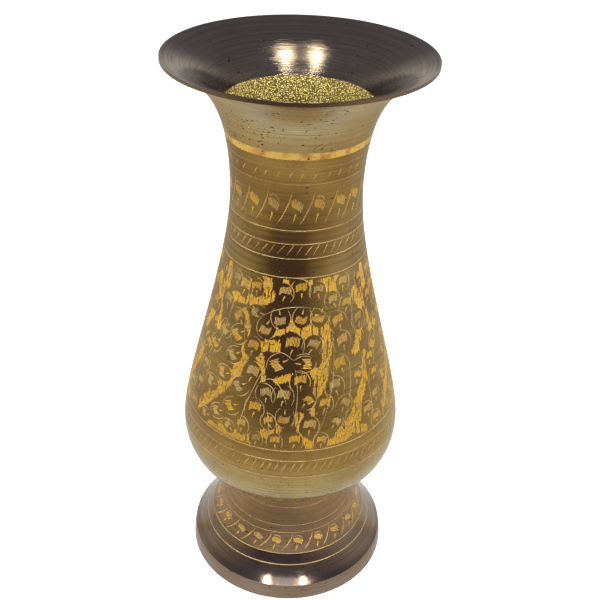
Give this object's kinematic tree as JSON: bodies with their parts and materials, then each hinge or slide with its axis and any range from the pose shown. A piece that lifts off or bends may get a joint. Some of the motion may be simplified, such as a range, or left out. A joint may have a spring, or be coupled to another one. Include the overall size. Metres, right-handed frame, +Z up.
{
  "type": "flower vase",
  "caption": "Turned and hand-engraved brass flower vase with a trumpet mouth, slim neck, pear-shaped belly and spreading hollow foot, standing free on a table.",
  "frame": {"origin": "centre of the circle on which the foot stands, at floor level", "axes": "+Z up along the axis of revolution, out of the mouth; +X and +Y are any two square directions, as the solids are round"},
  "size_m": [0.1066, 0.1066, 0.25],
  "materials": {
    "foot_brass": "turned and polished, darkened at the flare, engraved above it",
    "waist_filler_brass": "brazing brass, darkened in the waist",
    "body_brass": "turned satin, hand engraved with bright cuts, thin olive patina",
    "neck_filler_brass": "brazing brass turned flush, brighter and yellower than the castings",
    "mouth_brass": "turned and polished trumpet, rough sand-cast below it"
  },
  "bodies": {
    "root": {"foot": "foot_brass", "waist_filler_ring": "waist_filler_brass", "body": "body_brass", "neck_filler_ring": "neck_filler_brass", "mouth": "mouth_brass"}
  },
  "joints": []
}
